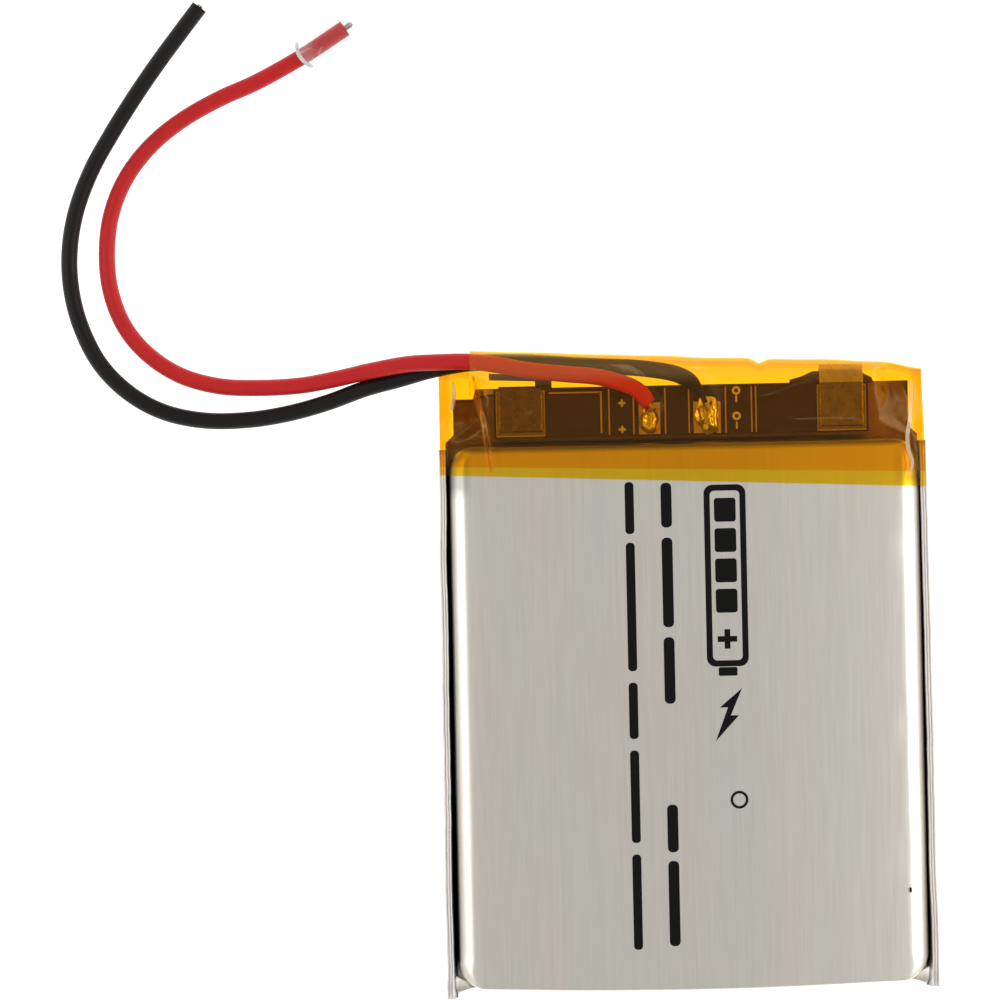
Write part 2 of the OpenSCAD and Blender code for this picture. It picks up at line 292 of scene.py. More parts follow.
class Nodes:
    """A node tree under construction, with short ways to add to it."""

    def __init__(self, owner):
        owner.use_nodes = True
        self.nodes = owner.node_tree.nodes
        self.links = owner.node_tree.links
        self.nodes.clear()

    def add(self, kind, inputs=None, **settings):
        node = self.nodes.new(kind)
        for key, value in settings.items():
            setattr(node, key, value)
        for key, value in (inputs or {}).items():
            self.put(node, key, value)
        return node

    def put(self, node, key, value):
        if isinstance(value, bpy.types.NodeSocket):
            self.links.new(value, node.inputs[key])
        else:
            node.inputs[key].default_value = value

    def math(self, operation, a, b=0.0, c=0.0):
        return self.add("ShaderNodeMath", {0: a, 1: b, 2: c}, operation=operation).outputs[0]

    def spread(self, value, low, high, start=0.3, end=0.7, **settings):
        """Value from start to end becomes low to high."""
        node = self.add("ShaderNodeMapRange", {
            "Value": value, "From Min": start, "From Max": end, "To Min": low, "To Max": high,
        }, **settings)
        return node.outputs["Result"]


class Look(Nodes):
    """A procedural material under construction."""

    def __init__(self, name):
        self.material = bpy.data.materials.new(name)
        super().__init__(self.material)
        self.output = self.add("ShaderNodeOutputMaterial")

    def place(self, scale=(1, 1, 1)):
        """Object coordinates in millimetres, times scale."""
        where = self.add("ShaderNodeTexCoord").outputs["Object"]
        size = tuple(s / MM for s in scale)
        return self.add("ShaderNodeMapping", {"Vector": where, "Scale": size}).outputs["Vector"]

    def along(self, axis):
        """The place along one axis, in millimetres."""
        return self.add("ShaderNodeSeparateXYZ", {"Vector": self.place()}).outputs[axis]

    def aside(self):
        """The distance from the cell's middle to either side, in millimetres."""
        return self.math("ABSOLUTE", self.along("X"))

    def noise(self, scale=(1, 1, 1), detail=2.0, rough=0.5):
        node = self.add("ShaderNodeTexNoise", {
            "Vector": self.place(scale), "Scale": 1.0, "Detail": detail, "Roughness": rough,
        })
        return node.outputs["Fac"]

    def ramp(self, value, *stops):
        node = self.add("ShaderNodeValToRGB", {"Fac": value})
        for i, (place, colour) in enumerate(stops):
            stop = node.color_ramp.elements[i] if i < 2 else node.color_ramp.elements.new(place)
            stop.position = place
            stop.color = (*colour, 1)
        return node.outputs["Color"]

    def blend(self, amount, a, b, how="MIX"):
        node = self.add("ShaderNodeMix", data_type="RGBA", blend_type=how)
        self.put(node, 0, amount)
        self.put(node, 6, a if isinstance(a, bpy.types.NodeSocket) else (*a, 1))
        self.put(node, 7, b if isinstance(b, bpy.types.NodeSocket) else (*b, 1))
        return node.outputs[2]

    def times(self, a, b):
        """Two colours multiplied."""
        return self.blend(1.0, a, b, "MULTIPLY")

    def bump(self, height, strength, distance, under=None):
        inputs = {"Height": height, "Strength": strength, "Distance": distance * MM}
        if under is not None:
            inputs["Normal"] = under
        return self.add("ShaderNodeBump", inputs).outputs["Normal"]

    def shader(self, **inputs):
        named = {key.replace("_", " "): value for key, value in inputs.items()}
        return self.add("ShaderNodeBsdfPrincipled", named).outputs["BSDF"]

    def finish(self, shader):
        self.links.new(shader, self.output.inputs["Surface"])
        return self.material


FOIL_TONE = (0.852, 0.806, 0.725)
# Painted light: the face is painted paler towards +X, the side of the stronger lamp.
FOIL_PAINTED_LIGHT = (1.15, 1.13, 1.14)  # how much paler the face is towards +X
SEAL_TONE = (0.88, 0.84, 0.79)
# Painted shade: the terrace foil is darkened to the tone of foil in shadow under the board and
# tape.
TERRACE_SHADE_LEFT = (0.17, 0.105, 0.085)
TERRACE_SHADE_RIGHT = (0.3, 0.165, 0.12)
RIM_Z = 4.4  # top of the cup's rounded edge
SEAL_RIM_Z = 3.5  # top of the gap, on the seals' side of it
TAPE_LINE = 13  # about where the tape begins on the face
WHITE = (1, 1, 1)
BLACK = (0, 0, 0)


def shades(colour, *factors):
    return [tuple(c * f for c in colour) for f in factors]


def well_shade(look, inside, rim):
    """Shade in the narrow gaps beside the cup, where inside is 1, from the floor to the rim."""
    rise = look.spread(look.along("Z"), 0, 1, 0, rim)
    shade = look.ramp(rise, (0.25, (0.06, 0.06, 0.06)), (0.6, (0.25, 0.25, 0.26)),
                      (0.75, (0.7, 0.72, 0.75)), (0.88, (0.88, 0.9, 0.93)), (0.96, WHITE))
    return look.blend(inside, WHITE, shade)


def laminate_look():
    """Aluminium under clear nylon, with the fine lengthwise grain of rolled foil. Painted shade
    darkens it in the gaps beside the cup, at both sides under the tape, where the cup meets the
    terrace, and low on its wall at the folded end, and painted light makes the face paler towards
    +X."""
    look = Look("laminate")
    grain = look.noise((7, 0.18, 1), 5, 0.6)
    broad = look.noise((0.3, 0.05, 1), 2)
    across, along, aside = look.along("X"), look.along("Y"), look.aside()
    dark, pale = shades(FOIL_TONE, 0.965, 1.035)
    tone = look.blend(look.spread(grain, 0, 1), dark, pale)
    tint = look.ramp(broad, (0.38, (0.975, 1.0, 0.985)), (0.62, (1.0, 0.98, 0.97)))
    tone = look.times(tone, tint)
    # Painted light: paler towards +X.
    painted_light = look.blend(look.spread(across, 0, 1, 3, 14), WHITE, FOIL_PAINTED_LIGHT)
    tone = look.times(tone, painted_light)
    # Painted shade in the narrow gaps beside the cup's sides.
    gap = look.math("MULTIPLY", look.spread(aside, 0, 1, 15.4, 15.9),
                    look.spread(along, 0, 1, FOLD_Y + 0.9, FOLD_Y + 2.4))
    tone = look.times(tone, well_shade(look, gap, RIM_Z))
    # Painted shade at both sides under the tape, where the cup meets the terrace, and low on the
    # wall at the folded end.
    under_tape = look.math("MULTIPLY", look.spread(aside, 0, 1, 14.6, 15.4),
                           look.spread(along, 0, 0.45, TAPE_LINE - 0.6, TAPE_LINE + 0.3))
    shoulder = look.spread(along, 0, 0.75, CUP_Y - 0.7, CUP_Y - 0.35)
    end_wall = look.math("MULTIPLY", look.spread(along, 0.35, 0, FOLD_Y + 0.1, FOLD_Y + 0.5),
                         look.spread(look.along("Z"), 1, 0, RIM_Z - 0.5, RIM_Z))
    painted_shade = look.math("MAXIMUM", look.math("MAXIMUM", under_tape, shoulder), end_wall)
    return look.finish(look.shader(
        Base_Color=look.blend(painted_shade, tone, BLACK),
        Metallic=1.0,
        Roughness=look.spread(grain, 0.3, 0.38),
        Normal=look.bump(grain, 0.08, 0.02),
        Coat_Weight=0.2,
        Coat_Roughness=0.15,
    ))


def terrace_look():
    """The flat seal under the board, painted a darker shade than the rest of the foil, and browner
    towards +X.
    """
    look = Look("laminate_terrace_shaded")
    mottle = look.noise((1.6, 1.6, 1.6), 4, 0.6)
    tone = look.blend(look.spread(look.along("X"), 0, 1, -14, 14), TERRACE_SHADE_LEFT, TERRACE_SHADE_RIGHT)
    return look.finish(look.shader(
        Base_Color=look.times(tone, look.ramp(mottle, (0.3, (0.88,) * 3), (0.7, (1.1,) * 3))),
        Metallic=1.0,
        Roughness=0.33,
        Normal=look.bump(mottle, 0.2, 0.03),
    ))


def seal_look():
    """The pressed and folded seals: the same foil, paler and duller. Painted shade darkens them low
    on their inner side, in the gap beside the cup, and below the rim all round.
    """
    look = Look("laminate_seal")
    streak = look.noise((14, 0.3, 6), 4, 0.6)
    dark, pale = shades(SEAL_TONE, 0.84, 1.1)
    tone = look.blend(look.spread(streak, 0, 1), dark, pale)
    # Painted shade low on the seal's inner side, in the gap beside the cup.
    inner_side = look.spread(look.aside(), 1, 0, 16.62, 16.78)
    tone = look.times(tone, well_shade(look, inner_side, SEAL_RIM_Z))
    # Painted shade: darker below the rim all round.
    wall = look.spread(look.along("Z"), 0.4, 0, SEAL_RIM_Z - 0.6, SEAL_RIM_Z)
    return look.finish(look.shader(
        Base_Color=look.blend(wall, tone, BLACK),
        Metallic=0.75,
        Roughness=look.spread(streak, 0.3, 0.45),
        Normal=look.bump(streak, 0.2, 0.03),
        Coat_Weight=0.2,
        Coat_Roughness=0.2,
    ))


def plain_look(name, colour, rough, metal=0.0, lump=0.5, vary=0.12, relief=0.1, coat=0.0,
               gloss=0.5, detail=4):
    """Slight mottling, with lumps of about that size, in colour, gloss and relief."""
    look = Look(name)
    mottle = look.noise((1 / lump,) * 3, detail, 0.6)
    dark, pale = shades(colour, 1 - vary, 1 + vary)
    return look.finish(look.shader(
        Base_Color=look.blend(look.spread(mottle, 0, 1), dark, pale),
        Metallic=metal,
        Roughness=look.spread(mottle, rough * 0.8, rough * 1.2),
        Normal=look.bump(mottle, relief, 0.03),
        Specular_IOR_Level=gloss,
        Coat_Weight=coat,
        Coat_Roughness=0.15,
    ))


def film_look(name, tint, haze, amounts, gloss, from_tilt, ripples, side_tint=WHITE, shine=WHITE):
    """A clear plastic film: tint is what one of its two surfaces lets through, and gloss is what
    it mirrors when faced and when seen along, which grows from from_tilt on. It is clouded by the
    first amount of haze over the board, and by the second beyond the board's edge, over the leads,
    where that haze is partly a painted sheen for the glare on the film.
    Along the two sides, where it is gathered, it lets through that much less."""
    look = Look(name)
    ripple = look.noise((0.8, 0.5, 0.8), 3, 0.5)
    fine = look.noise((3, 1.6, 3), 2)
    waves = look.bump(ripple, 0.35 * ripples, 0.25)
    normal = look.bump(fine, 0.15 * ripples, 0.04, under=waves)
    gathered = look.spread(look.aside(), 0, 1, 15.9, 16.3)
    deep = [a * b for a, b in zip(tint, side_tint)]
    passed = look.blend(gathered, tint, deep)
    clear = look.add("ShaderNodeBsdfTransparent", {"Color": passed}).outputs[0]
    body = look.shader(Base_Color=(*haze, 1), Roughness=0.35, Normal=normal)
    mirror = look.shader(Base_Color=(*shine, 1), Metallic=1.0, Roughness=0.12, Normal=normal)
    # Haze, and past the board's edge partly a painted sheen for glare.
    haze_and_sheen = look.spread(look.along("Y"), *amounts, BOARD_HIGH.y + 0.2, BOARD_HIGH.y + 1)
    hazy = look.add("ShaderNodeMixShader", {0: haze_and_sheen, 1: clear, 2: body}).outputs[0]
    facing = look.add("ShaderNodeLayerWeight", {"Blend": 0.5, "Normal": normal}).outputs["Facing"]
    share = look.spread(facing, *gloss, from_tilt, 0.6)
    return look.finish(look.add("ShaderNodeMixShader", {0: share, 1: hazy, 2: mirror}).outputs[0])


LAMINATE = laminate_look()
TERRACE_SHADED = terrace_look()
SEAL = seal_look()
AMBER = (1.0, 0.89, 0.36)
TAPE = film_look("polyimide_tape", AMBER, haze=(0.9, 0.7, 0.6), amounts=(0.007, 0.04),
                 gloss=(0.004, 0.04), from_tilt=0.2, ripples=1.0, side_tint=(1, 0.95, 0.85))
# Painted highlight: thick whitish haze on the crease strips stands in for the glint of light along
# them.
TAPE_CREASE_HIGHLIGHT = film_look("polyimide_crease_highlight", (1.0, 0.95, 0.75), haze=(0.95, 0.84, 0.74),
                        amounts=(0.36, 0.36), gloss=(0.02, 0.2), from_tilt=0.1, ripples=0.5)
TAPE_FOLD = film_look("polyimide_fold", AMBER, haze=(0.9, 0.6, 0.3), amounts=(0.01, 0.01),
                      gloss=(0.01, 0.3), from_tilt=0.1, ripples=0.5, shine=(1.0, 0.6, 0.2))
SLEEVE = film_look("clear_sleeve", (0.985, 0.985, 0.985), haze=(0.8, 0.8, 0.82),
                   amounts=(0.015, 0.015), gloss=(0.02, 0.2), from_tilt=0.02, ripples=0.15)
SLEEVE_RIM = plain_look("sleeve_rim", (0.75, 0.75, 0.76), 0.3)
PVC_RED = plain_look("insulation_red", (0.64, 0.015, 0.015), 0.45, lump=1.5, vary=0.06, gloss=0.3)
PVC_BLACK = plain_look("insulation_black", (0.009, 0.007, 0.006), 0.45, lump=1.5, relief=0.05,
                       gloss=0.25)
TINNED = plain_look("tinned_copper", (0.62, 0.58, 0.55), 0.3, metal=1.0, lump=0.15)
SOLDER = plain_look("solder", (0.97, 0.95, 0.9), 0.13, metal=1.0, lump=0.25, relief=0.15)
GOLD = plain_look("gold_plate", (0.6, 0.42, 0.24), 0.35, metal=1.0, lump=0.3)
STRIP = {"metal": 1.0, "lump": 0.7, "relief": 0.5, "detail": 1}
# Painted shade: the nickel is darkened where it lies on the board under the tape; the bend's copy
# is paler.
NICKEL_SHADED = plain_look("nickel", (0.24, 0.19, 0.16), 0.28, **STRIP)
NICKEL_BEND = plain_look("nickel_bend", (0.6, 0.55, 0.48), 0.3, **STRIP)
ALUMINIUM = plain_look("aluminium_tab", (0.17, 0.115, 0.1), 0.28, **STRIP)
MASK = plain_look("board_mask", (0.04, 0.016, 0.01), 0.4, lump=0.3, gloss=0.2)
LEGEND = plain_look("board_legend", (0.75, 0.73, 0.68), 0.5)
EPOXY = plain_look("epoxy_mould", (0.03, 0.03, 0.032), 0.5, lump=0.2)
CERAMIC = plain_look("chip_ceramic", (0.24, 0.17, 0.11), 0.4, lump=0.2)
FISH_PAPER = plain_look("fish_paper", (0.09, 0.045, 0.028), 0.6, lump=0.3)
SEALANT = plain_look("sealant", (0.8, 0.79, 0.72), 0.4)
CATHODE = plain_look("cathode_coating", (0.05, 0.05, 0.055), 0.6, lump=0.2)
ANODE = plain_look("anode_coating", (0.02, 0.02, 0.02), 0.7, lump=0.2)
SEPARATOR = plain_look("separator_film", (0.85, 0.85, 0.85), 0.4)
ROLL_TAPE = plain_look("roll_tape", (0.75, 0.72, 0.5), 0.35)
INK = plain_look("ink", (0.004, 0.0035, 0.003), 0.6, lump=0.8, vary=0.3, relief=0.02, gloss=0.15)

CAD_LOOKS = (
    (LAMINATE, "pouch_back"),
    (CATHODE, "cathode_strip"),
    (ANODE, "anode_strip"),
    (SEPARATOR, "separator_inner", "separator_outer"),
    (ROLL_TAPE, "roll_tape"),
    (SEALANT, "positive_tab_film", "negative_tab_film"),
    (FISH_PAPER, "terrace_insulator"),
    (MASK, "circuit_board"),
    (GOLD, "board_pads", "board_traces"),
    (NICKEL_SHADED, "nickel_strip_positive", "nickel_strip_negative"),
    (EPOXY, "protection_ic", "dual_mosfet", "supply_resistor", "sense_resistor"),
    (CERAMIC, "filter_capacitor"),
    (TINNED, "protection_ic_leads", "dual_mosfet_leads", "core_joint_red", "core_joint_black"),
)


def dress_cad_nodes():
    for look, *names in CAD_LOOKS:
        for name in names:
            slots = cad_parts[name].data.materials
            slots.clear()
            slots.append(look)


dress_cad_nodes()


# ----- Leads, on the routes of the CAD part -----

RED_ROUTE = [
    (-2.2, 18.8, 3.15), (-3.2, 19.9, 3.15), (-5.5, 20.7, 2.9), (-8, 21, 2.5), (-10.5, 21.3, 2.2),
    (-12.5, 21.7, 2.1), (-14.6, 22, 2), (-17.4, 22, 1.8), (-19.2, 21.9, 1.5), (-21.6, 21.5, 1),
    (-24, 21, 0.65), (-26.5, 20.6, 0.6), (-29.5, 20.5, 0.6), (-32.2, 20.7, 0.6),
    (-34.8, 21.5, 0.6), (-37, 23, 0.6), (-38.6, 25, 0.6), (-39.5, 27.5, 0.6),
    (-39.7, 30.2, 0.6), (-39.3, 32.9, 0.6), (-38.2, 35.4, 0.6), (-36.4, 37.6, 0.6),
    (-34.2, 39.3, 0.6), (-31.6, 40.7, 0.6), (-29, 41.8, 0.65), (-25.8, 43.5, 0.8),
    (-22.8, 45.4, 0.8),
]
BLACK_ROUTE = [
    (1.7, 18.8, 3.15), (1.2, 19.8, 3.15), (-0.2, 20.8, 2.9), (-2.8, 21.3, 2.2), (-5.6, 21.5, 1.5),
    (-8.3, 21.7, 1), (-11.2, 21.9, 0.8), (-14.6, 21.9, 0.8), (-17.2, 21.5, 0.65),
    (-19.5, 20.9, 0.6), (-21.9, 20.3, 0.6), (-24.5, 19.4, 0.6), (-27.2, 18.7, 0.6),
    (-30, 18.3, 0.6), (-33, 18.3, 0.6), (-35.8, 18.9, 0.6), (-38.2, 20.2, 0.6),
    (-40.2, 22.2, 0.6), (-41.5, 24.7, 0.6), (-42.2, 27.4, 0.6), (-42.3, 30.2, 0.6),
    (-41.8, 33, 0.6), (-40.7, 35.8, 0.6), (-39.2, 38.4, 0.6), (-37.5, 41, 0.6),
    (-35.7, 43.5, 0.6), (-34, 45.7, 0.6), (-32.9, 47.1, 0.6),
]
LEAD_D = 1.15
EXIT_X = -14.6  # where the leads leave the tape
CORE_R = 0.2
STRANDS = 7  # one in the middle and the others round it
STRAND_R = 0.065
STRAND_STEPS = 6
SLEEVE_D = 2.1
SLEEVE_L = 3.9
SLEEVE_WALL = 0.15
SLEEVE_BOW = 0.35  # how far its near end is hollowed


def smooth(route, steps=8):
    """The route as a smooth line through its points."""
    points = [Vector(p) for p in route]
    points = [2 * points[0] - points[1], *points, 2 * points[-1] - points[-2]]
    line = []
    for a, b, c, d in zip(points, points[1:], points[2:], points[3:]):
        for i in range(steps):
            t = i / steps
            line.append(0.5 * (
                2 * b + (c - a) * t + (2 * a - 5 * b + 4 * c - d) * t * t
                + (3 * b - a - 3 * c + d) * t ** 3
            ))
    line.append(points[-2])
    return line


def start_width(name, i):
    """Width near the joint: the red end is cut square, the black one is thinned by the iron."""
    if "red" in name:
        return mix(0.85, 1, min(i / 3, 1))
    return mix(0.3, 1, float(ease(4, 13, i)))


def make_lead(name, route, look, node):
    """Insulation along a route. It is cut square at the free end and shrunk back at the joint."""
    line = smooth(route)
    curve = bpy.data.curves.new(name, "CURVE")
    curve.dimensions = "3D"
    curve.bevel_depth = LEAD_D / 2 * MM
    curve.bevel_resolution = 8
    curve.use_fill_caps = True
    spline = curve.splines.new("POLY")
    spline.points.add(len(line) - 1)
    for i, (point, place) in enumerate(zip(spline.points, line)):
        point.co = (*at(*place), 1)
        point.radius = start_width(name, i)
    spline.use_smooth = True
    curve.materials.append(look)
    lead = add_object(name, curve)
    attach(lead, BODY)
    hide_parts(node)
    return lead, line


def strands(name, route, length, node):
    """Fine wires, lightly twisted, that stick out of a lead's cut end."""
    last, before = Vector(route[-1]), Vector(route[-2])
    ahead = (last - before).normalized()
    across, up = axes(ahead)
    wires = []
    for k in range(STRANDS):
        line = []
        for t in shares(STRAND_STEPS):
            spread = (CORE_R - STRAND_R) * (1 + 0.25 * t) if k else 0.02
            a = 2 * math.pi * k / (STRANDS - 1) + 0.9 * t
            reach = length * (1 - 0.12 * (k % 3)) * t - 0.3 * (1 - t)
            line.append(last + reach * ahead + spread * (math.cos(a) * across + math.sin(a) * up))
        wires.append(tube(line, STRAND_R, 8))
    return piece(name, *together(*wires), TINNED, "tinned_copper", replaces=[node])


def sleeve_rings(shape):
    """Rings about the sleeve's axis; shape gives (distance back from its far end, radius)."""
    last, before = Vector(RED_ROUTE[-1]), Vector(RED_ROUTE[-2])
    ahead = (last - before).normalized()
    ahead.z = 0
    ahead.normalize()
    across = ahead.cross((0, 0, 1))
    tip = Vector((last.x, last.y, SLEEVE_D / 2)) + 0.4 * ahead
    rings = []
    for back, r in shape:
        hollow = SLEEVE_BOW * (back / SLEEVE_L) ** 3
        rings.append([
            tip - (back + hollow * math.sin(a) ** 2) * ahead
            + r * (math.cos(a) * across + math.sin(a) * Vector((0, 0, 1)))
            for a in turns(40)
        ])
    return rings


def make_sleeve():
    """A clear tube, cut square, whose near end has been rolled by the heat of the lead."""
    outer, inner = SLEEVE_D / 2, SLEEVE_D / 2 - SLEEVE_WALL
    walls = [(0, outer), (0.1, outer), (SLEEVE_L / 2, outer - 0.03), (SLEEVE_L - 0.2, outer),
             (SLEEVE_L - 0.1, inner), (SLEEVE_L / 2, inner - 0.03), (0.1, inner), (0, inner)]
    lip = [(SLEEVE_L - 0.22, outer + 0.01), (SLEEVE_L - 0.04, outer + 0.03),
           (SLEEVE_L, outer - 0.04), (SLEEVE_L, inner + 0.03), (SLEEVE_L - 0.06, inner - 0.02),
           (SLEEVE_L - 0.2, inner)]
    body = piece("red_end_sleeve_tube", *hollow_net(sleeve_rings(walls)), SLEEVE, "clear_sleeve",
                 replaces=["red_end_sleeve"])
    rim = piece("red_end_sleeve_rim", *hollow_net(sleeve_rings(lip)), SLEEVE_RIM, "clear_sleeve")
    return body, rim


def make_leads():
    red, red_line = make_lead(
        "lead_red_wire", RED_ROUTE, PVC_RED, "lead_red")
    black, black_line = make_lead(
        "lead_black_wire", BLACK_ROUTE, PVC_BLACK, "lead_black")
    red_tip = strands("red_strands", RED_ROUTE, 0.6, "core_tip_red")
    black_tip = strands("black_strands", BLACK_ROUTE, 0.15, "core_tip_black")
    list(make_sleeve())


make_leads()


# ----- Pouch -----

CUP_LEFT = -16.3  # side walls of the cup at its foot
CUP_RIGHT = 16.45
CUP_CORNER = 1.95
EDGE_LEFT, EDGE_RIGHT = 1.15, 1.25  # radius of the rounded edge along each side
EDGE_FOLD, EDGE_TERRACE = 0.3, 0.6
SIDE_DRAFT, END_DRAFT = 0.08, 0.12  # how far the walls lean in over their height
END_BOW = 0.45
TERRACE_TRIM = 0.036  # how much narrower the top seal is, as a share
TAB_RISE = 0.19
TAB_HALF = 2.7  # half the width that a tab lifts
PRESS_PITCH = 0.8
LEDGE_STEPS = 16  # rings of the flat sheet round the cup
WALL_SHARES = (0, 0.3, 0.6, 0.85, 1)
EDGE_STEPS = 14  # rings of the rounded edge
FLAT_SHARES = (0.985, 0.965, 0.94, 0.91, 0.87, 0.82, 0.76, 0.69, 0.61, 0.52, 0.42, 0.31, 0.2, 0.1,
               0)


def cup_outline(arc=12, side=44):
    """Points round the foot of the cup, each with its outward direction."""
    left, right = CUP_LEFT + CUP_CORNER, CUP_RIGHT - CUP_CORNER
    top, bottom = CUP_Y - CUP_CORNER, FOLD_Y + CUP_CORNER
    mids = [Vector(m) for m in ((right, top), (left, top), (left, bottom), (right, bottom))]
    spots = []
    for q, centre in enumerate(mids):
        for i in range(arc + 1):
            a = math.pi / 2 * (q + i / arc)
            out = Vector((math.cos(a), math.sin(a)))
            spots.append((centre + CUP_CORNER * out, out))
        out = spots[-1][1]
        for i in range(1, side):
            spots.append((centre.lerp(mids[(q + 1) % 4], i / side) + CUP_CORNER * out, out))
    return spots


def bow(x, y):
    """How far the folded end stands back from its middle."""
    return END_BOW * (x / PLATE_X) ** 2 * ease(0, 1, -y / 22)


def edge_radius(out):
    """The drawn edge is soft along the sides and tight at the two ends."""
    side = EDGE_RIGHT if out.x > 0 else EDGE_LEFT
    end = EDGE_FOLD if out.y < 0 else EDGE_TERRACE
    return side * out.x ** 2 + end * out.y ** 2


def draft(out):
    """How far the wall leans in over its height."""
    return END_DRAFT if out.y > 0 else SIDE_DRAFT * out.x ** 2


# Dents by the cup's edges: x, y, depth and width.
DENTS = [(15.1, -3.9, 0.05, 0.5), (15.3, 8.5, 0.04, 0.6), (-15.2, 6.0, 0.03, 0.8),
         (15.0, -12.5, 0.04, 0.7), (-15.3, -9.0, 0.025, 0.9)]


def face_height(x, y):
    """Height of the cup's flat: slightly crowned and uneven, with small dents by its edges."""
    z = FACE_Z - 0.02 + 0.03 * lumps(x / 7, y / 9, 0) - 0.2 * (x / 16) ** 6
    z += 0.008 * lumps(x / 2.2, y / 5, 4) - 0.12 * (x / 15.4) ** 20
    for dent_x, dent_y, depth, width in DENTS:
        z -= depth * bell(math.hypot(x - dent_x, (y - dent_y) / 2), width)
    return z


def terrace_height(x, y):
    """The flat seal, pressed with fine cross lines and raised over the two tabs."""
    from_tab = abs(abs(x) - abs(middle("positive_tab_film").x))
    over = ease(TAB_HALF + 0.2, TAB_HALF - 0.2, from_tab) * ease(CUP_Y - 0.6, CUP_Y - 0.2, y)
    press = math.sin(2 * math.pi * y / PRESS_PITCH) * ease(CUP_Y + 0.5, CUP_Y + 0.9, y)
    return LEDGE_Z + TAB_RISE * over + 0.02 * press


def terrace_edge(x):
    """The top seal is trimmed slightly askew, and cut back at its left corner."""
    return END_Y - 0.3 * ease(0, PLATE_X, -x) - 0.12 - 0.38 * ease(14.3, 14.6, -x)


def trimmed(x, y):
    """The top seal is trimmed narrower than the rest of the sheet."""
    return x * (1 - TERRACE_TRIM * ease(CUP_Y + 0.15, CUP_Y + 0.75, y))


def ledge_point(foot, out, step):
    """A place on the flat sheet, a number of steps out from the foot of the cup."""
    to_side = (PLATE_X - abs(foot.x)) / max(abs(out.x), 1e-6)
    end = terrace_edge(foot.x) if out.y > 0 else FOLD_Y - 0.02
    to_end = (end - foot.y) / out.y if abs(out.y) > 1e-6 else 1e9
    p = foot + out * max(min(to_side, to_end), 0.03) * step / LEDGE_STEPS
    x = trimmed(p.x, p.y)
    return x, p.y + bow(x, p.y), terrace_height(x, p.y)


def wall_point(foot, out, share):
    """A place on the cup's wall, that share of the way up to its rounded edge."""
    p = foot - out * draft(out) * share
    z = mix(terrace_height(foot.x, foot.y), FACE_Z - edge_radius(out), share)
    return p.x, p.y + bow(p.x, p.y), z


def edge_point(foot, out, a):
    """A place on the rounded edge, at an angle from the wall's top."""
    r = edge_radius(out)
    p = foot - out * (draft(out) + r * (1 - math.cos(a)))
    y = p.y + bow(p.x, p.y)
    sink = face_height(p.x, y) - FACE_Z
    return p.x, y, FACE_Z - r + r * math.sin(a) + sink * math.sin(a)


def flat_rings(rim):
    """Rings from the edge of the flat to a small oval in its middle, where they are even."""
    centre = Vector(((CUP_LEFT + CUP_RIGHT) / 2, (CUP_Y + FOLD_Y) / 2))
    start = math.atan2(rim[0][1] - centre.y, rim[0][0] - centre.x)
    rings = []
    for share in FLAT_SHARES:
        ring = []
        for a, (x, y, _) in zip(turns(len(rim)), rim):
            px = mix(centre.x + 1.2 * math.cos(start + a), x, share)
            py = mix(centre.y + 1.5 * math.sin(start + a), y, share)
            ring.append((px, py, face_height(px, py)))
        rings.append(ring)
    return rings


def cup_rings():
    """Rings of points from the sheet's edge in over the cup to the middle of its face."""
    spots = cup_outline()
    rings = [[ledge_point(*spot, step) for spot in spots] for step in range(LEDGE_STEPS, 0, -1)]
    rings += [[wall_point(*spot, share) for spot in spots] for share in WALL_SHARES]
    for step in range(1, EDGE_STEPS + 1):
        a = math.pi / 2 * step / EDGE_STEPS
        rings.append([edge_point(*spot, a) for spot in spots])
    return rings + flat_rings(rings[-1])


def on_terrace(face):
    _, y, z = face.center / MM
    return y > CUP_Y - 1.5 and z < LEDGE_Z + 0.4


def make_pouch_front():
    rings = cup_rings()
    points = flat_list(rings)
    cap = tuple(range(len(points) - len(rings[0]), len(points)))
    cup = piece("pouch_cup", points, net(rings, closed=True) + [cap], LAMINATE, "laminate",
                thick=0.1, replaces=["pouch_front"])
    # Painted shade: the terrace faces take the darker terrace look.
    look_again(cup, TERRACE_SHADED, on_terrace)


SEAL_TOP = 3.75
SEAL_W = 0.5
SEAL_FOOT = 16.43  # its inner side, where it rises from the floor
SEAL_ROWS = 90
SEAL_LEAN = {1: 0.22, -1: 0.16}  # how far each leans out at the folded end
SEAL_PAST = {1: 0.12, -1: 0.32}  # how far each sticks out past the folded end


def seal_section():
    """Half-flattened pleats of a side seal, turned up beside the cup: (outwards, up)."""
    low = SEAM_Z - FOIL_T
    ridges = [(0, -0.16), (0.02, -0.05), (0.07, 0), (0.12, -0.03), (0.15, -0.13), (0.18, -0.04),
              (0.24, 0.04), (0.3, -0.02), (0.33, -0.14), (0.36, -0.04), (0.42, 0.02),
              (0.48, -0.05), (0.5, -0.2)]
    inside = [(-0.12, low), (-0.12, low + 0.3), (0, low + 0.6), (0, SEAL_TOP / 2),
              (0, SEAL_TOP - 0.6)]
    outside = [(SEAL_W, SEAL_TOP / 2), (SEAL_W, low + 0.4), (SEAL_W - 0.08, low + 0.34),
               (0.28, low)]
    return inside + [(u, SEAL_TOP + v) for u, v in ridges] + outside


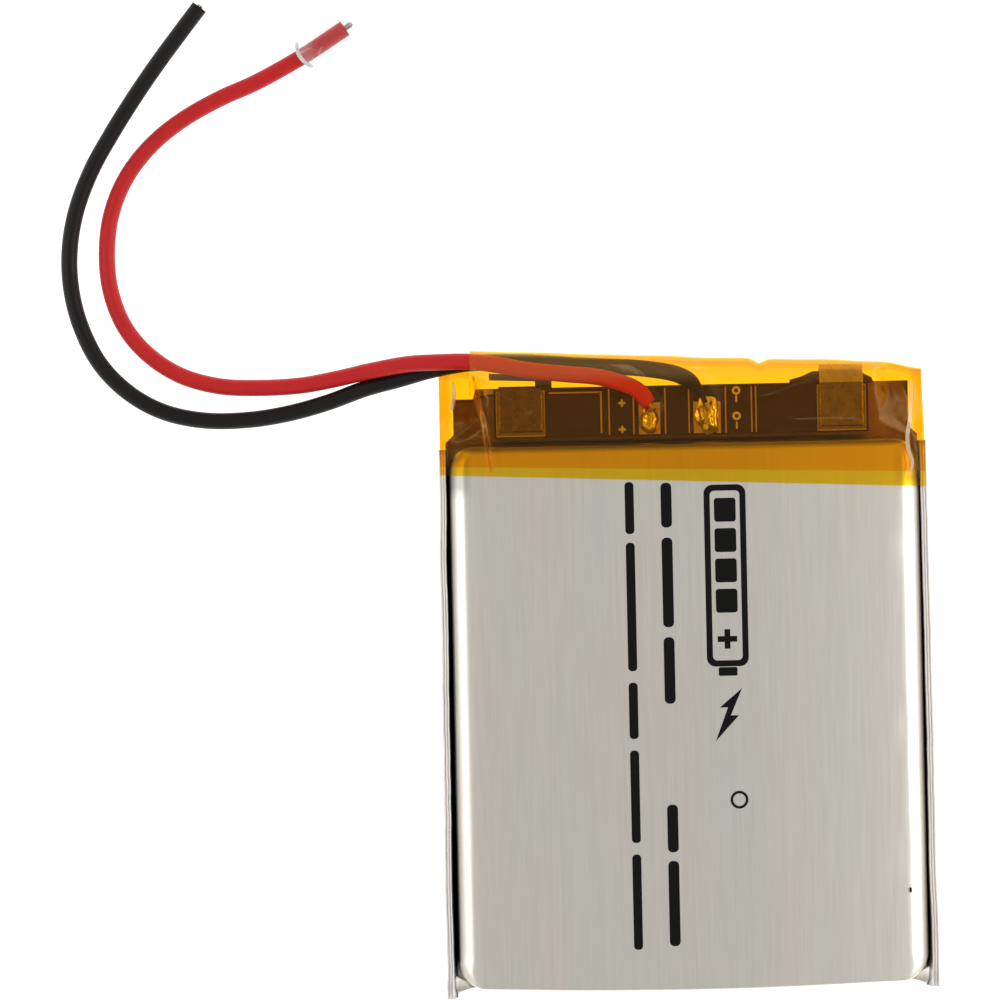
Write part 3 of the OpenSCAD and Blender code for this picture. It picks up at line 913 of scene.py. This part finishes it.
def make_side_seal(side, name, node):
    """A strip of seal along one side that leans out a little towards the folded end."""
    top, bottom = CUP_Y - 0.3, FOLD_Y - SEAL_PAST[side]
    section = seal_section()
    rows = []
    for t in shares(SEAL_ROWS):
        y = mix(top, bottom, t)
        lean = mix(0, SEAL_LEAN[side], t)
        row = []
        for u, z in section:
            share = (z / SEAL_TOP) ** 2
            wave = 0.09 * lumps(side * 5, y / 6, z / 6)
            wave += 0.03 * lumps(side * 9, y / 1.3, z / 3)
            x = SEAL_FOOT + u + (lean + wave) * share
            drop = 0.12 * lumps(side * 3, y / 9, 0) * share
            drop -= 0.5 * ease(bottom + 0.8, bottom, y) * share
            row.append((side * x, y, z + drop))
        rows.append(row)
    piece(name, *closed_net(rows), SEAL, "laminate_seal", replaces=[node])


WEB_X = (14.9, 16.55)  # from the cup's corner to the seal
WEB_STEPS = 12
WEB_ROWS = 8


def make_web(side, name):
    """The small web of laminate that the fold leaves between the cup's corner and the seal."""
    rows = []
    for t in shares(WEB_STEPS):
        x = mix(*WEB_X, t)
        inner = FOLD_Y + 0.4 + 0.9 * t
        outer = FOLD_Y + 0.38 - 0.5 * t ** 1.7
        row = []
        for s in shares(WEB_ROWS):
            lift = 1.3 * t * t * (1 - s) + 0.25 * math.sin(math.pi * t) * s
            row.append((side * x, mix(inner, outer, s), LEDGE_Z + 0.05 + lift))
        rows.append(row if side > 0 else row[::-1])
    piece(name, *open_net(rows), LAMINATE, "laminate", thick=0.12)


make_pouch_front()
make_side_seal(1, "side_seal_right", "side_fold_right")
make_side_seal(-1, "side_seal_left", "side_fold_left")
make_web(1, "corner_web_right")
make_web(-1, "corner_web_left")


# ----- Tabs and solder joints -----

TAB_T = 0.08
TAB_W = 3
TAB_COLUMNS = 30
LAP_ROWS = 24  # rows of the part that lies on the board
ROLL = middle("cathode_strip")
ROLL_END = corners("cathode_strip")[1].y + 0.6
WELDS = {1: [(10.65, 19.5), (11.04, 17.95), (12.05, 17.3)],
         -1: [(-11.05, 18.4), (-10.3, 17.5), (-11.9, 19.3)]}

def arc(centre, r, start, end, count):
    angles = [math.radians(mix(start, end, t)) for t in shares(count)]
    return [(centre[0] + r * math.cos(a), centre[1] + r * math.sin(a)) for a in angles]


def tab_height(side, x, y, z):
    """Weld nuggets pressed into the lap on the board, and a slight buckle between them."""
    for weld_x, weld_y in WELDS[side]:
        away = math.hypot(x - weld_x, y - weld_y)
        z += 0.05 * bell(away - 0.22, 0.07) - 0.05 * bell(away, 0.12)
    return z + 0.05 * lumps(x / 0.9, y / 0.9, 2)


def make_tab(side, name, node, look, lap_look, slot, loop):
    """A tab from the roll out through the seal, round its loop and back over the board, where
    it takes lap_look, on the negative tab a copy of its nickel darkened as painted shade."""
    x = side * middle("negative_tab").x
    seal_z = middle("positive_tab_film").z
    path = [(ROLL_END - 12, ROLL.z), (ROLL_END + 0.2, ROLL.z), (ROLL_END + 0.7, ROLL.z - 0.6),
            (ROLL_END + 0.9, seal_z + 0.5), (CUP_Y - 0.3, seal_z), *loop]
    lap_from = len(path)
    lap_y, lap_z = loop[-1]
    lap_end = middle("circuit_board").y - 1.3
    path += [(mix(lap_y, lap_end, t), lap_z) for t in shares(LAP_ROWS)[1:]]
    rows = []
    for k, (y, z) in enumerate(path):
        row = []
        for t in shares(TAB_COLUMNS):
            px = x + TAB_W * (t - 0.5)
            pz = tab_height(side, px, y, z) if k >= lap_from else z
            row.append((px, y, pz + TAB_T / 2))
        rows.append(row)
    tab = piece(name, *open_net(rows), look, slot, thick=TAB_T, replaces=[node])
    look_again(tab, lap_look, lambda face: face.index >= (lap_from - 1) * TAB_COLUMNS)


def make_tabs():
    seal_z = middle("positive_tab_film").z
    lap_z = corners("negative_tab")[1].z - TAB_T / 2
    bend = (lap_z - seal_z) / 2
    wide = arc((END_Y - 0.05, seal_z + bend), bend, -90, 90, 18)
    make_tab(1, "negative_tab_strip", "negative_tab", NICKEL_BEND, NICKEL_SHADED, "nickel", wide)
    tight = (arc((END_Y - 0.28, seal_z + 0.3), 0.3, -90, 0, 5)
             + arc((END_Y - 0.28, lap_z - 0.3), 0.3, 0, 90, 5))
    make_tab(-1, "positive_tab_strip", "positive_tab", ALUMINIUM, ALUMINIUM, "aluminium_tab", tight)


HEAP_RINGS = 23
HEAP_SIDES = 56


def make_solder(name, node, wide, long, ahead, runs):
    """A heap of solder over the strands. Runs are the lines that its ridges follow."""
    low, high = corners(node)
    x, y = (low.x + high.x) / 2, (low.y + high.y) / 2 + ahead
    rings = []
    for i in range(HEAP_RINGS):
        r = 1 - i / HEAP_RINGS
        ring = []
        for a in turns(HEAP_SIDES):
            lump = lumps(1.5 * math.cos(a), 1.5 * math.sin(a), long)
            edge = r * (1 + 0.3 * lump)
            px, py = x + wide * edge * math.cos(a), y + long * edge * math.sin(a)
            ridge = sum(float(bell(beside(run, px - x, py - y)[0], 0.17)) for run in runs)
            wave = 0.2 * lumps(px / 0.35, py / 0.5, 1)
            rise = (high.z - low.z) * (1 - r * r) ** 0.6 * (0.55 + 0.45 * ridge + wave)
            ring.append((px, py, low.z + rise))
        rings.append(ring)
    piece(name, *closed_net(rings), SOLDER, "solder", replaces=[node])


RED_RUNS = [[(-0.42, -0.7), (-0.4, 0.3)], [(0.38, -0.7), (0.45, 0.1), (0.3, 0.5)]]
BLACK_RUNS = [[(-0.55, -0.9), (-0.3, -0.3), (-0.5, 0.4)], [(0.3, -0.9), (0.15, -0.2), (0.5, 0.9)],
              [(0.65, -1.0), (0.55, -0.1), (0.7, 0.6)]]

make_tabs()
make_solder("solder_joint_red", "solder_positive", 0.72, 1.0, 0.0, RED_RUNS)
make_solder("solder_joint_black", "solder_negative", 0.92, 1.4, 0.3, BLACK_RUNS)


# ----- Legend on the board and print on the face -----

def plus(x, y, size, t):
    h, s = size / 2, t / 2
    return [(x + s, y + s), (x + s, y + h), (x - s, y + h), (x - s, y + s), (x - h, y + s),
            (x - h, y - s), (x - s, y - s), (x - s, y - h), (x + s, y - h), (x + s, y - s),
            (x + h, y - s), (x + h, y + s)]


def make_legend():
    """Polarity signs and test rings beside the two joints."""
    low, high = BOARD_HIGH.z - 0.01, BOARD_HIGH.z + 0.02
    left, right = middle("solder_positive").x - 1.9, middle("solder_negative").x + 2.05
    signs = [prism(plus(left, y, 0.5, 0.14), low, high) for y in (18.9, 17.07)]
    signs += [prism(rounded_box(right, y, 0.12, 0.5, 0.05), low, high) for y in (19.05, 17.2)]
    signs += [hollow_prism(circle(right, y, 0.3), circle(right, y, 0.14), low, high)
              for y in (19.62, 17.85)]
    piece("board_signs", *together(*signs), LEGEND, smooth=False)


PRINT_LOW = FACE_Z - 0.05
PRINT_HIGH = FACE_Z + 0.012
SIGN_X, SIGN_TOP = 2.85, 13.1  # middle and top of the battery sign
SIGN_W, SIGN_L = 2.9, 12.6
SIGN_LINE = 0.42
SIGN_CELLS = 4
RING_PLACE = (3.45, -8.75)
BOLT = [(0.75, 0.3), (-0.5, -0.75), (-0.05, -0.75), (-0.75, -2.6), (0.55, -1.2), (0.1, -1.2)]

# Bars down the face: for each column its place and width, then the top and length of each bar.
BARS = [
    (-1.2, 0.75, [(13.3, 3.1), (9.5, 6.2), (2.6, 4.6), (-9, 3.3), (-12.9, 5.9)]),
    (-3.75, 0.62, [(13.4, 3.6), (9.2, 8.9), (-0.5, 3.9), (-5.2, 6.4), (-12.4, 6.6)]),
]


def printed(outline, hole=None):
    """A patch of ink on the face, with or without a hole in it."""
    if hole:
        return hollow_prism(outline, hole, PRINT_LOW, PRINT_HIGH)
    return prism(outline, PRINT_LOW, PRINT_HIGH)


def make_print():
    """A plain battery sign, and bars where a maker would print its particulars."""
    x, foot = SIGN_X, SIGN_TOP - SIGN_L
    y = SIGN_TOP - SIGN_L / 2
    rim = 2 * SIGN_LINE
    shapes = [
        printed(rounded_box(x, y, SIGN_W, SIGN_L, 0.6),
                rounded_box(x, y, SIGN_W - rim, SIGN_L - rim, 0.3)),
        printed(rounded_box(x, foot - 0.35, 1.3, 0.6, 0.12)),
    ]
    shapes += [printed(rounded_box(x, SIGN_TOP - 1.75 - 2.1 * k, SIGN_W - 1.4, 1.65, 0.2))
               for k in range(SIGN_CELLS)]
    shapes.append(printed(plus(x, foot + 1.9, 1.35, 0.4)))
    shapes.append(printed([(x + 1.25 * u, foot - 1.9 + 1.25 * v) for u, v in BOLT]))
    shapes.append(printed(circle(*RING_PLACE, 0.62), circle(*RING_PLACE, 0.44)))
    shapes += [printed(rounded_box(column, top - length / 2, width, length, 0.42 * width))
               for column, width, bars in BARS for top, length in bars]
    speck = rounded_box(15.2, -15.25, 0.13, 0.34, 0.05)
    shapes.append(prism(speck, FACE_Z - 0.3, FACE_Z - 0.1))
    piece("face_print", *together(*shapes), INK, "ink", smooth=False)


make_legend()
make_print()


DARK_STRIPS = {
    "dark_strip_left": [(-13.3, 20.68), (-10.1, 20.55), (-10.1, 19.95), (-8.95, 19.95),
                        (-8.95, 20.9), (-13.3, 21.15)],
    "dark_strip_right": [(7.6, 19.95), (13.45, 19.95), (13.3, 20.35), (12.8, 20.6), (12.4, 20.9),
                         (9.2, 20.85), (8.4, 20.5), (7.6, 20.3)],
}


DARK_STRIP_Z = (1.3, 1.4)


def make_dark_strips():
    """Dark flat strips in the fish paper's look, just past the board's outer edge."""
    for name, outline in DARK_STRIPS.items():
        piece(name, *prism(outline, *DARK_STRIP_Z), FISH_PAPER, "fish_paper", smooth=False)


make_dark_strips()


# ----- Tape: two layers wrapped over the cup's end, the board and the back -----

TAPE_EDGE = 16.8  # half of its width
TAPE_T = 0.05
LAYER_GAP = 0.07  # from one layer to the next
FOLD_R = 0.55  # depth of the bend over the top edge
BACK_Z = 0.065  # the inner layer on the back
FRONT_ROWS = 92
BEND_ROWS = 14
BACK_ROWS = 24
SIDE_COLUMNS = 26  # columns beyond where the leads come out
MAIN_COLUMNS = 300

# Height of the film along the cell, from the cup's face down over the board: (y, z).
SLOPE = [(13, 4.56), (15.95, 4.56), (16.5, 4.38), (17.5, 3.65), (18.6, 3.15), (19.8, 2.95),
         (20.8, 2.85), (21.4, 2.6), (21.9, 2.0), (22.8, 0.9)]

CREASE_RISE = 1.6  # how sharply all of the creases stand up

# Creases in the film: the line each follows from above, its height and its half width.
CREASES = [
    ([(-14.2, 21.4), (-13.95, 19.6), (-13.6, 17.2), (-13.25, 14.8)], 0.2, 0.15),
    ([(-13.5, 21.2), (-13.25, 19.5), (-13.2, 18.2)], 0.14, 0.14),
    ([(-14.7, 20.6), (-14.4, 19.7), (-13.8, 19.2)], 0.14, 0.13),
    ([(-15.75, 20.5), (-16.0, 18.6), (-16.15, 16.6), (-16.35, 14.6)], 0.16, 0.2),
    ([(-14.9, 17.6), (-14.3, 18.1), (-13.9, 18.0)], 0.04, 0.12),
    ([(-15.2, 16.4), (-14.2, 16.7), (-13.6, 16.5)], 0.04, 0.12),
    ([(16.05, 20.4), (16.2, 18.6), (15.85, 16.8), (16.0, 15.6), (16.2, 13.4)], 0.16, 0.2),
    ([(15.75, 17.2), (15.55, 16.3), (15.8, 15.2)], 0.14, 0.14),
    ([(-8.6, 17.95), (-5.5, 17.7), (-1, 17.75), (3, 17.65), (5, 17.75)], 0.05, 0.1),
    ([(-9, 17.5), (-6.2, 17.45)], 0.05, 0.1),
    ([(4.7, 19.0), (6.4, 19.2), (8, 19.8), (9.6, 20.2)], 0.13, 0.14),
    ([(5.2, 18.2), (7.4, 17.95), (10, 18.0)], 0.06, 0.12),
    ([(6.8, 17.75), (8, 17.4), (10, 17.45), (12, 17.4)], 0.09, 0.13),
    ([(13.4, 20.0), (14.1, 19.2), (13.6, 18.1), (13.9, 16.9)], 0.05, 0.13),
    ([(14.6, 19.9), (14.9, 18.7), (14.5, 17.6), (14.9, 16.8)], 0.06, 0.14),
    ([(-13.2, 20.1), (-12, 19.3), (-11.2, 18.9)], 0.1, 0.12),
    ([(-12.5, 17.6), (-11.3, 17.9), (-10.3, 18.3)], 0.07, 0.1),
    ([(-13.4, 16.05), (-12.2, 16.2), (-10.6, 15.7), (-9.8, 15.3)], 0.03, 0.12),
    ([(-16, 14.9), (-15.3, 15.1), (-14.8, 14.9)], 0.08, 0.15),
    ([(-9.5, 21.2), (-6, 20.9), (-3.5, 20.5)], 0.06, 0.1),
    ([(1, 21.1), (3.5, 21.2), (7, 21.1), (11, 20.9)], 0.08, 0.14),
    ([(12.9, 20.9), (14.2, 20.7), (15.6, 20.4)], 0.1, 0.12),
]


def inner_low(x):
    """Lower edge of the inner layer on the face, and on the back."""
    return 13.42 - 0.0427 * x


def outer_low(x):
    return 14.23 - 0.029 * x


def top_edge(x):
    """Outer side of the bend over the top: askew, wavy, and cut back beside the leads."""
    y = 21.98 - 0.045 * x - 0.3 * bell(x - 5.5, 0.45) + 0.1 * rumple(x, 0 * x, 4, 7)
    y = y - 0.4 * ease(14, TAPE_EDGE, x)
    return np.where(x < EXIT_X - 0.01, 21.25 + 0.2 * rumple(x, 0 * x, 1.5, 3), y)


def over_leads(x, y):
    """The film bridges smoothly over each lead, as far as where they come out."""
    height = np.zeros(np.shape(x))
    for route in (RED_ROUTE, BLACK_ROUTE):
        away, z = beside(route[:8], x, y)
        height = np.maximum(height, z + LEAD_D / 2 + 0.08 - 0.5 * away ** 2)
    return np.where(x < EXIT_X - 0.3, 0, height)


def side_drop(x, y, z):
    """The film hangs down at both sides, further in beside the board than beside the cup."""
    aside = np.abs(x)
    down = ease(16, 17.8, y)
    start, end = mix(15.2, 13.2, down), mix(16.7, 14.6, down)
    late = ease(20.6, 21.2, y) * (x < 0)
    start, end = mix(start, 14.7, late), mix(end, 15.8, late)
    level = mix(3.95, 0.5, ease(15.9, 20.6, y))
    return mix(z, np.minimum(z, level), ease(start, end, aside))


def front_height(x, y):
    """Height of the underside of the film above each place on the front. It lies close on the
    cup's face, and loose and rumpled over the board."""
    z = soft_max(np.interp(y, *zip(*SLOPE)), over_leads(x, y), 0.35)
    z = side_drop(x, y, z)
    calm = 0.75 * ease(12.9, 13.7, np.abs(x)) * ease(20.6, 20, y)
    loose = ease(15.9, 16.6, y) * (1 - calm)
    z = z + loose * (0.1 * rumple(x, y, 1.6, 1) + 0.035 * rumple(x, y, 0.6, 2))
    z = z + (1 - loose) * 0.012 * (1 + rumple(x, y, 1.2, 5))
    for line, height, width in CREASES:
        away = beside(line, x, y)[0]
        z = z + CREASE_RISE * height * bell(away, width)
    return z


def tape_rows(low, lift):
    """Rows of places across the film, from its lower edge over the top to the back."""
    x = np.concatenate([np.linspace(-TAPE_EDGE, EXIT_X - 0.04, SIDE_COLUMNS),
                        np.linspace(EXIT_X, TAPE_EDGE, MAIN_COLUMNS)])
    start = top_edge(x) - FOLD_R
    rows = []
    for t in np.linspace(0, 1, FRONT_ROWS):
        y = mix(low(x), start, t)
        rows.append(np.stack([x, y, front_height(x, y) + lift], 1))
    crest = rows[-1][:, 2]
    for a in np.linspace(0, math.pi, BEND_ROWS + 2)[1:-1]:
        bulge = math.sin(a) ** 0.75
        z = (crest + BACK_Z - lift) / 2 + (crest - BACK_Z + lift) / 2 * math.cos(a)
        rows.append(np.stack([x, start + (FOLD_R + lift) * bulge, z], 1))
    for t in np.linspace(0, 1, BACK_ROWS):
        y = mix(start, low(x), t)
        rows.append(np.stack([x, y, 0 * x + BACK_Z - lift], 1))
    return rows


def slit(face, wide):
    """Whether a face of the film bridges the slit over the top, where the leads come out."""
    row, column = divmod(face[0], wide)
    past_bend = FRONT_ROWS + BEND_ROWS
    return column == SIDE_COLUMNS - 1 and FRONT_ROWS - 8 <= row <= past_bend + 4


def make_tape(name, node, low, lift):
    """One layer of the film."""
    rows = tape_rows(low, lift)
    points, faces = open_net(rows)
    points = [tuple(p) for p in points]
    faces = [face for face in faces if not slit(face, len(rows[0]))]
    film = piece(name, points, faces, TAPE, "polyimide_tape", thick=TAPE_T, replaces=[node])
    film.modifiers["thickness"].offset = 1


# Narrow folds of film that lie on the outer layer: their line from above, half width and look.
PLEATS = {
    "tape_pleat": ([(-14.4, 21.0), (-14.1, 19.6), (-13.8, 18.2), (-13.55, 16.6), (-13.4, 15.2),
                    (-13.3, 14.3)], 0.19, TAPE_FOLD),
    "tape_crease_left": ([(-15.8, 20.6), (-15.75, 19.8), (-15.85, 19.1), (-15.95, 18.6)], 0.16,
                         TAPE_CREASE_HIGHLIGHT),
    "tape_crease_right": ([(16.08, 20.1), (16.0, 18.7), (15.82, 17.3), (15.6, 16.3), (15.64, 15.3),
                           (15.9, 14.4), (15.75, 13.6)], 0.14, TAPE_CREASE_HIGHLIGHT),
}


def make_pleat(name, places, width, look):
    """A doubled crease of film, thickest in the middle of its run."""
    line = smooth([(x, y, 0) for x, y in places], 6)
    rings = []
    for i, spot in enumerate(line):
        ahead = heading(line, i)
        across = Vector((ahead.y, -ahead.x, 0))
        half = width * (0.3 + 0.7 * math.sin(math.pi * i / (len(line) - 1)) ** 0.4)
        crest = float(front_height(spot.x, spot.y)) + LAYER_GAP + TAPE_T + 0.09
        rings.append([
            spot + half * math.cos(a) * across + Vector((0, 0, crest + 0.07 * math.sin(a)))
            for a in turns(12)
        ])
    piece(name, *closed_net(rings), look, "polyimide_tape")


make_tape("tape_layer_inner", "tape_inner", inner_low, 0)
make_tape("tape_layer_outer", "tape_outer", outer_low, LAYER_GAP)
for pleat, (places, width, look) in PLEATS.items():
    make_pleat(pleat, places, width, look)


# ----- Light table, room and lamps -----

TABLE_GREY = 0.06
TABLE_GLOW = 1.24
LAMP_SIZE = (0.16, 0.6)  # metres, as are the places of the lamps


def make_stage():
    mesh = bpy.data.meshes.new("light_table")
    mesh.from_pydata([(-1, -1, 0), (1, -1, 0), (1, 1, 0), (-1, 1, 0)], [], [(0, 1, 2, 3)])
    look = Look("light_table")
    look.finish(look.shader(Base_Color=(*[TABLE_GREY] * 3, 1), Roughness=0.9,
                            Specular_IOR_Level=0.0,
                            Emission_Color=(*WHITE, 1), Emission_Strength=TABLE_GLOW))
    mesh.materials.append(look.material)
    add_object("light_table", mesh)


def make_room():
    """Soft light from all round, brightest half way up the two sides."""
    world = bpy.data.worlds.new("room")
    bpy.context.scene.world = world
    room = Nodes(world)
    where = room.add("ShaderNodeTexCoord").outputs["Generated"]
    split = room.add("ShaderNodeSeparateXYZ", {"Vector": where}).outputs
    aside = room.math("ABSOLUTE", split["X"])
    down = room.math("MULTIPLY_ADD", split["Z"], -0.4, 0.44)
    most = room.math("MAXIMUM", aside, down)
    rise = room.spread(most, 0.66, 1.06, 0.34, 0.8, interpolation_type="SMOOTHSTEP")
    fall = room.spread(most, 0.0, 0.36, 0.82, 1.0, interpolation_type="SMOOTHSTEP")
    level = room.math("SUBTRACT", rise, fall)
    sky = room.add("ShaderNodeBackground", {"Strength": level}).outputs["Background"]
    room.add("ShaderNodeOutputWorld", {"Surface": sky})


def softbox(name, place, power):
    """A tall lamp that faces the cell."""
    data = bpy.data.lights.new(name, "AREA")
    data.shape = "RECTANGLE"
    data.size, data.size_y = LAMP_SIZE
    data.energy = power
    lamp = add_object(name, data)
    lamp.location = place
    lamp.rotation_euler = (-Vector(place)).to_track_quat("-Z", "Y").to_euler()


def set_render_limits():
    """Plain colours, and enough bounces to see through all of the tape's surfaces."""
    scene = bpy.context.scene
    scene.view_settings.view_transform = "Standard"
    scene.cycles.transparent_max_bounces = 32
    scene.cycles.max_bounces = 16
    scene.cycles.glossy_bounces = 12


make_stage()
make_room()
softbox("left_box", (-0.6, 0.05, 0.4), 0.55)
softbox("right_box", (0.6, 0.0, 0.4), 0.9)
set_render_limits()
